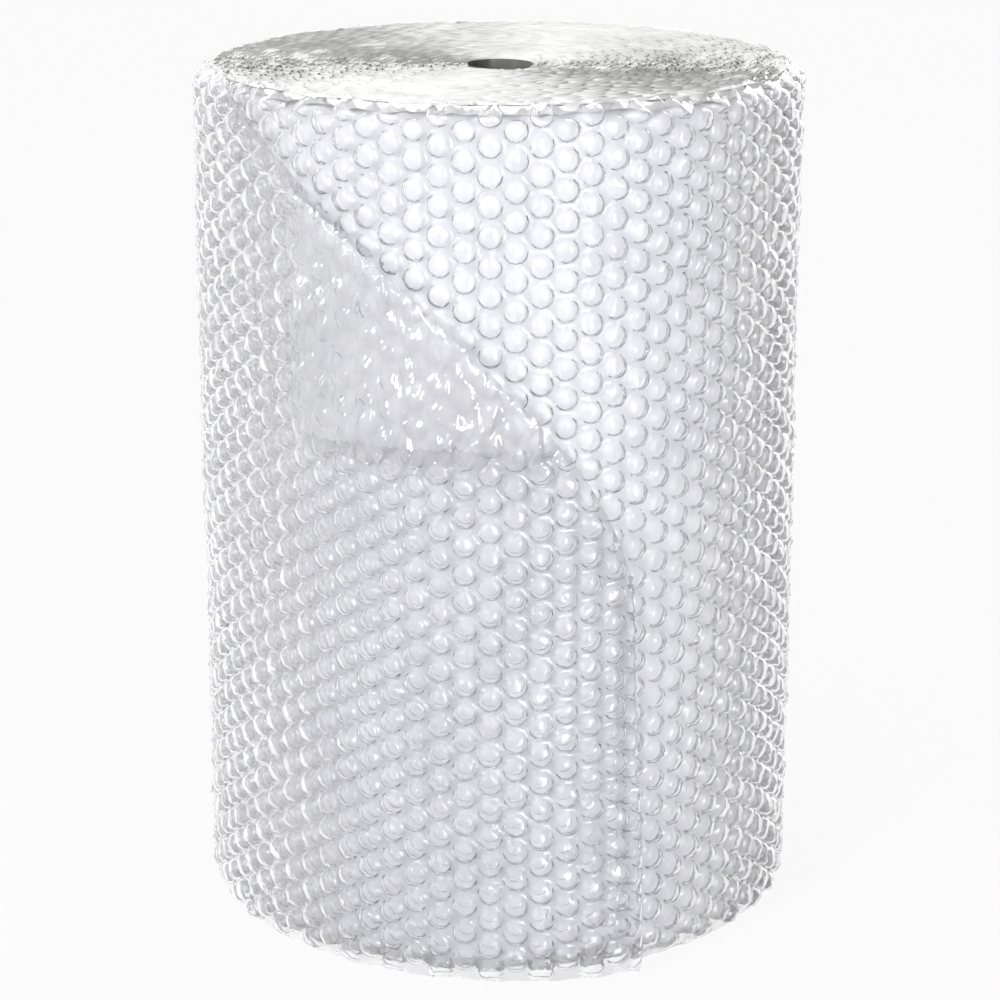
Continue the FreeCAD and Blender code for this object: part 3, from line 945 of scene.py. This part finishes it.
@dataclass(frozen=True)
class FilmEdges:
    """The spiral of cut film edges on one end: flat film, and bubbled film between it and the next turn.

    Attributes:
        web: The film.
        side: The end that they stand on.
        flat_steps: Points for each bubble along the flat film.
        bubble_steps: Points for each bubble along the bubbled film.
        stand: Height of the strips.
        levels: Heights of a strip's rows of points, as shares of its own.
        frayed_turns: Outer turns that fray, the more the further out.
        first_turn: Turns in from the outside at which the edges begin.
        swell: How far the bubbled film stands off the flat film.
        frayed_swell: What the outermost turn lacks of that.
        roundness: How round the bubbles' cut outlines are.
        fray_drop: Depth of the fray at the outside.
        fray_unevenness: Share by which that depth varies.
        jitter: Fast unevenness of the turns.
        jitter_depth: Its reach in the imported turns.
        frayed_jitter: What the fray adds to that reach.
        lean: Its reach at a strip's own edge.
        ripple: Slow unevenness of the edges' height.
        crest: Height that the ripple takes off and gives at the upper end.
        floor_gap: Height of the lower edges above the floor.
        floor_ripple: How much of it the ripple takes and gives.
        bore_gap: Least distance from the hole.
    """

    web: Web
    side: End
    flat_steps: int = 4
    bubble_steps: int = 8
    stand: float = 0.009
    levels: tuple[float, ...] = (0.0, 0.5, 1.0)
    frayed_turns: float = 5.0
    first_turn: float = 1.75
    swell: float = 0.0062
    frayed_swell: float = 0.003
    roundness: float = 0.6
    fray_drop: float = 0.006
    fray_unevenness: float = 0.9
    jitter: Ripple = Ripple(41, 0.017)
    jitter_depth: float = 0.0007
    frayed_jitter: float = 0.0012
    lean: float = 0.0008
    ripple: Ripple = Ripple(51, 0.041)
    crest: float = 0.0012
    floor_gap: float = 0.0004
    floor_ripple: float = 0.0002
    bore_gap: float = 0.002

    def build(self) -> list[bpy.types.Object]:
        """Builds the flat film's edge and the bubbled film's edge."""
        side, pitch = self.side.name.lower(), self.web.bubble_pitch
        flat = self.ribbon(f"{side}_flat_edges", pitch / self.flat_steps, 0.0)
        bubbled = self.ribbon(f"{side}_bubbled_edges", pitch / self.bubble_steps, 1.0)
        return [flat, bubbled]

    def turned(self, step: float) -> np.ndarray:
        """Angles of the spiral's points from the outside in, a step apart along the web."""
        web = self.web
        angles = [self.first_turn * FULL_TURN]
        while angles[-1] < web.turns * FULL_TURN:
            angles.append(angles[-1] + step / (web.roll_radius - web.turn_thickness * angles[-1] / FULL_TURN))
        return np.array(angles)

    def ribbon(self, name: str, step: float, waviness: float) -> bpy.types.Object:
        """A strip that stands on edge along the whole spiral.

        Args:
            name: Name of the piece.
            step: Distance between its points along the web.
            waviness: 1 for film that follows the bubbles, 0 for flat film.

        Returns:
            The strip.
        """
        web = self.web
        turned = self.turned(step)
        run = np.arange(len(turned)) * step
        fray = np.clip(1 - turned / (FULL_TURN * self.frayed_turns), 0.0, 1.0)
        outline = np.abs(np.sin(math.pi * run / web.bubble_pitch)) ** self.roundness
        jitter = self.noise(self.jitter, run)
        radius = web.roll_radius - web.turn_thickness * turned / FULL_TURN - fray * web.edge_inset
        radius = radius + waviness * (self.swell - self.frayed_swell * fray) * outline
        radius = radius + jitter * (self.jitter_depth + self.frayed_jitter * fray)
        radius = np.clip(radius, web.bore_radius + self.bore_gap, None)
        arc = turned * web.roll_radius
        rows = []
        for level in self.levels:
            height = self.height(level, radius, fray, jitter, self.noise(self.ripple, run))
            rows.append(web.place(arc, height, radius + jitter * self.lean * level))
        points = np.stack(rows, axis=1).reshape(-1, 3)
        return dress(film_object(name, points, grid_faces(len(turned), len(self.levels))), EDGE_FILM)

    def noise(self, ripple: Ripple, run: np.ndarray) -> np.ndarray:
        """Reads a ripple along the web, with the seed of this end."""
        return replace(ripple, seed=ripple.seed + self.side.value).along(run)

    def height(self, level: float, radius: np.ndarray, fray: np.ndarray, jitter: np.ndarray,
               ripple: np.ndarray) -> np.ndarray:
        """Heights of a row of points.

        Args:
            level: Its share of the strip's height.
            radius: Distances from the axis.
            fray: Shares of the fray.
            jitter: Fast unevenness, from -1 to 1.
            ripple: Slow unevenness, from -1 to 1.

        Returns:
            One height for each point.
        """
        web = self.web
        if self.side is End.LOWER:
            return self.floor_gap + self.floor_ripple * ripple + self.stand * (1 - level)
        top = web.width - web.dish_depth(radius) - self.crest * (1 - ripple)
        frayed = self.fray_drop * fray * fray * (1 + self.fray_unevenness * jitter)
        return top - frayed - self.stand * (1 - level)


@dataclass(frozen=True)
class FoldedCorner:
    """The crinkled film along the crease, where the corner of the free end is folded under the outer turn.

    Attributes:
        web: The film.
        lattice: Its bubbles.
        crease_drop: Depth by which it dips at the crease.
        drop_width: Width of that dip.
        grain: Distance between its points.
        border: Share of the folded-under corner at which the sheet ends.
        ragged: Unevenness of that border.
        clearance: Distance that it keeps from the crease.
        proud: Height above the film that it fills in for.
        paleness: Share of the lighter tone that painted light gives a bubble's top, which it takes the more
            the further the corner is folded under.
        wrinkle: Depth of its short upright wrinkles.
        tall: Rounded wrinkles.
        tall_share: Their share of the depth.
        tall_lean: How far they lean.
        sharp: Sharp wrinkles.
        sharp_share: Their least share of the depth.
        sharp_lean: How far they lean the other way.
        crumple: Depth of the finer crumples.
        fine: Finer crumples.
        fine_lean: How far they lean.
        patches: Where the sharp wrinkles are deeper or shallower.
        ghost: Height of the flattened bubbles.
    """

    web: Web
    lattice: BubbleLattice
    crease_drop: float
    drop_width: float
    grain: float = 0.0024
    border: float = 0.40
    ragged: Ripple = Ripple(73, 0.018, 0.03, 0.40)
    clearance: float = 0.0005
    proud: float = 0.0006
    paleness: float = 0.5
    wrinkle: float = 0.0036
    tall: Ripple = Ripple(71, 0.0065, 0.034)
    tall_share: float = 0.6
    tall_lean: float = 0.35
    sharp: Ripple = Ripple(72, 0.009, 0.048)
    sharp_share: float = 0.4
    sharp_lean: float = 0.2
    crumple: float = 0.0013
    fine: Ripple = Ripple(74, 0.0055, 0.020)
    fine_lean: float = 0.3
    patches: Ripple = Ripple(75, 0.05, 0.06)
    ghost: float = 0.0020

    def build(self) -> bpy.types.Object:
        """Builds the crinkled sheet from the crease down to its ragged border."""
        web = self.web
        columns, rows = int(web.tuck_reach / self.grain), int(web.tuck_depth / self.grain)
        across, down = np.linspace(0.0, web.tuck_reach, columns), np.linspace(0.0, web.tuck_depth, rows)
        arc, height = np.meshgrid(across, web.width - down, indexing="ij")
        arc, height = arc.ravel(), height.ravel()
        faces = grid_faces(columns, rows)
        below, reach = web.below_crease(arc, height), web.in_tuck(arc, height)
        inside = (reach + self.ragged.at(arc, height))[faces] > self.border
        wanted = (below[faces] > self.clearance).all(axis=1) & inside.any(axis=1)
        radius = web.film_radius(arc) + web.outer_swell(arc, height) + self.creases(arc, height) + self.proud
        radius = radius - self.crease_drop * (1 - soft_step(below, self.drop_width)) - web.edge_draw(height)
        laid = Patch(arc, height, radius, reach, faces).keep(wanted)
        points = web.place(laid.arc, laid.height, laid.lift)
        return dress(film_object("folded_flap", points, laid.faces, self.paleness * laid.crown), LOOSE_FILM)

    def creases(self, arc: np.ndarray, height: np.ndarray) -> np.ndarray:
        """Lift off the flat film: short upright wrinkles, finer crumples and flattened bubbles.

        Args:
            arc: Places along the web.
            height: Heights above the lower end.

        Returns:
            One lift for each place.
        """
        tall = self.tall.at(arc + self.tall_lean * height, height)
        sharp = 1 - 2 * np.abs(self.sharp.at(arc - self.sharp_lean * height, height))
        fine = 1 - 2 * np.abs(self.fine.at(arc + self.fine_lean * height, height))
        patchy = (1 + self.patches.at(arc, height)) / 2
        deep = self.sharp_share + (1 - self.sharp_share) * patchy
        wrinkles = self.wrinkle * (self.tall_share * tall + sharp * deep)
        return wrinkles + self.crumple * fine + self.ghost * self.lattice.crown_at(arc, height)


@dataclass(frozen=True)
class Lamp:
    """A soft rectangular light that the camera doesn't see.

    Attributes:
        name: Its name.
        place: Where it stands.
        target: What it points at.
        size: Its width and height.
        power: Its power, in watts.
        gloss_only: Whether it shows in gloss alone and lights nothing.
    """

    name: str
    place: Point
    target: Point
    size: tuple[float, float]
    power: float
    gloss_only: bool = False

    def build(self) -> None:
        """Makes the light and adds it to the scene."""
        data = bpy.data.lights.new(self.name, "AREA")
        data.shape = "RECTANGLE"
        data.size, data.size_y = self.size
        data.energy = self.power
        light = bpy.data.objects.new(self.name, data)
        light.location = self.place
        light.rotation_euler = (Vector(self.target) - Vector(self.place)).to_track_quat("-Z", "Y").to_euler()
        light.visible_camera = False
        light.visible_transmission = False
        light.visible_diffuse = not self.gloss_only
        bpy.context.scene.collection.objects.link(light)


@dataclass(frozen=True)
class Studio:
    """A plain pale floor, soft lights and the camera at the photograph's angle.

    Attributes:
        camera_distance: Distance of the camera in front of the winding axis.
        camera_height: Its height above the floor.
        camera_tilt: Angle below level that it looks down at, in degrees.
        lens: Its focal length, in millimetres.
        sensor: Width of its sensor, in millimetres.
        floor_size: Length of the floor's sides.
        floor_white: Colour of the floor where it takes the shadow.
        floor_glow: Share of plain white that the eye sees of it.
        fill: Light from all round.
        key: Light that comes mostly from one side.
        key_from: That side.
        back: Light that comes mostly from behind.
        back_from: That side.
        lobe_width: How narrow both are.
        first_diffuse: Diffuse depth below which a ray counts as seen by the eye.
        deep: Ray depth below which it does.
        max_bounces: Most bounces of a ray.
        diffuse_bounces: Most diffuse bounces.
        glossy_bounces: Most glossy bounces.
        transmission_bounces: Most films that a ray goes through.
        lamps: The lamps.
    """

    camera_distance: float = 3.5
    camera_height: float = 1.503
    camera_tilt: float = 16.51
    lens: float = 109.0
    sensor: float = 36.0
    floor_size: float = 60.0
    floor_white: float = 0.50
    floor_glow: float = 0.92
    fill: float = 0.47
    key: float = 0.84
    key_from: Point = (-0.62, -0.62, 0.42)
    back: float = 1.25
    back_from: Point = (0.25, 0.96, 0.05)
    lobe_width: float = 1.6
    first_diffuse: float = 0.5
    deep: float = 1.5
    max_bounces: int = 6
    diffuse_bounces: int = 2
    glossy_bounces: int = 2
    transmission_bounces: int = 5
    lamps: tuple[Lamp, ...] = (
        Lamp("strip_light", (1.25, -3.06, 0.8), (0.0, 0.0, 0.65), (0.34, 2.4), 235.0, gloss_only=True),
        Lamp("left_light", (-2.0, -2.8, 1.9), (0.0, 0.0, 0.80), (1.2, 1.2), 100.0),
        Lamp("top_light", (0.2, 1.0, 3.2), (0.0, 0.0, 0.9), (2.4, 1.6), 14.0),
    )

    def build(self) -> None:
        """Sets the view transform and builds the camera, the floor, the world and the lights."""
        scene = bpy.context.scene
        scene.view_settings.view_transform = "Standard"
        scene.cycles.max_bounces = self.max_bounces
        scene.cycles.diffuse_bounces = self.diffuse_bounces
        scene.cycles.glossy_bounces = self.glossy_bounces
        scene.cycles.transmission_bounces = self.transmission_bounces
        self.camera()
        self.floor()
        self.world()
        for lamp in self.lamps:
            lamp.build()

    def camera(self) -> None:
        """The camera, level from side to side and tilted down."""
        data = bpy.data.cameras.new("photo_camera")
        data.lens = self.lens
        data.sensor_width = self.sensor
        camera = bpy.data.objects.new("photo_camera", data)
        camera.location = (0.0, -self.camera_distance, self.camera_height)
        camera.rotation_euler = (math.radians(90.0 - self.camera_tilt), 0.0, 0.0)
        bpy.context.scene.collection.objects.link(camera)
        bpy.context.scene.camera = camera

    def floor(self) -> None:
        """The floor, white to the eye with the roll's shadow on it."""
        half = self.floor_size / 2
        mesh = bpy.data.meshes.new("studio_floor")
        corners = [(-half, -half, 0), (half, -half, 0), (half, half, 0), (-half, half, 0)]
        mesh.from_pydata(corners, [], [tuple(range(len(corners)))])
        floor = bpy.data.objects.new("studio_floor", mesh)
        bpy.context.scene.collection.objects.link(floor)
        material = bpy.data.materials.new("studio_floor")
        material.use_nodes = True
        tray = NodeTray(material.node_tree)
        tray.tree.nodes.clear()
        output = tray.add("ShaderNodeOutputMaterial")
        surface = tray.add("ShaderNodeBsdfDiffuse")
        surface.inputs["Color"].default_value = (self.floor_white, self.floor_white, self.floor_white, 1.0)
        glow = tray.add("ShaderNodeEmission")
        mix = tray.add("ShaderNodeMixShader")
        share = tray.sum_of("MULTIPLY", self.seen(tray), self.floor_glow)
        tray.join(share, mix.inputs["Fac"])
        tray.join(surface.outputs["BSDF"], mix.inputs[1])
        tray.join(glow.outputs["Emission"], mix.inputs[2])
        tray.join(mix.outputs["Shader"], output.inputs["Surface"])
        mesh.materials.append(material)

    def world(self) -> None:
        """White to the eye and in reflections, with softer light on the roll, mostly from two sides."""
        world = bpy.data.worlds.new("studio_world")
        bpy.context.scene.world = world
        world.use_nodes = True
        tray = NodeTray(world.node_tree)
        tray.tree.nodes.clear()
        output = tray.add("ShaderNodeOutputWorld")
        glow = tray.add("ShaderNodeBackground")
        light = tray.sum_of("MULTIPLY_ADD", self.lobe(tray, self.key_from), self.key, self.fill)
        light = tray.sum_of("MULTIPLY_ADD", self.lobe(tray, self.back_from), self.back, light)
        seen = self.seen(tray)
        strength = tray.sum_of("MULTIPLY_ADD", tray.sum_of("SUBTRACT", 1.0, light), seen, light)
        tray.join(strength, glow.inputs["Strength"])
        glow.inputs["Color"].default_value = (1.0, 1.0, 1.0, 1.0)
        tray.join(glow.outputs["Background"], output.inputs["Surface"])

    def lobe(self, tray: NodeTray, source: Point) -> bpy.types.NodeSocket:
        """Soft light that comes mostly from one side, from 0 to 1.

        Args:
            tray: The world's nodes.
            source: The side that it comes from.

        Returns:
            Its share of the light from each direction.
        """
        toward = tray.add("ShaderNodeVectorMath", operation="DOT_PRODUCT")
        tray.join(tray.add("ShaderNodeTexCoord").outputs["Generated"], toward.inputs[0])
        toward.inputs[1].default_value = Vector(source).normalized()
        ahead = tray.sum_of("MAXIMUM", toward.outputs["Value"], 0.0)
        return tray.sum_of("POWER", ahead, self.lobe_width)

    def seen(self, tray: NodeTray) -> bpy.types.NodeSocket:
        """1 for rays from the eye, a reflection or clear film, and 0 for light that falls on the roll."""
        path = tray.add("ShaderNodeLightPath")
        eye = tray.sum_of("MAXIMUM", path.outputs["Is Camera Ray"], path.outputs["Is Glossy Ray"])
        either = tray.sum_of("MAXIMUM", eye, path.outputs["Is Transmission Ray"])
        first = tray.sum_of("LESS_THAN", path.outputs["Diffuse Depth"], self.first_diffuse)
        shallow = tray.sum_of("LESS_THAN", path.outputs["Ray Depth"], self.deep)
        return tray.sum_of("MULTIPLY", either, tray.sum_of("MULTIPLY", first, shallow))


def main() -> None:
    """Builds the roll and the studio in order."""
    logging.basicConfig(level=logging.INFO, format="%(message)s")
    web = Web()
    Studio().build()
    outer = OuterTurn(web, BubbleLattice(web))
    outer.build()
    pressed = BubbleLattice(web, PRESSED_RINGS, seed=PRESSED_SEED)
    TurnBeneath(web, pressed, web.columns + 1 + outer.bare_columns).build()
    WoundMass(web).build()
    FoldedCorner(web, outer.lattice, outer.crease_drop, outer.drop_width).build()
    FilmEdges(web, End.UPPER).build()
    FilmEdges(web, End.LOWER).build()


if __name__ == "__main__":
    main()
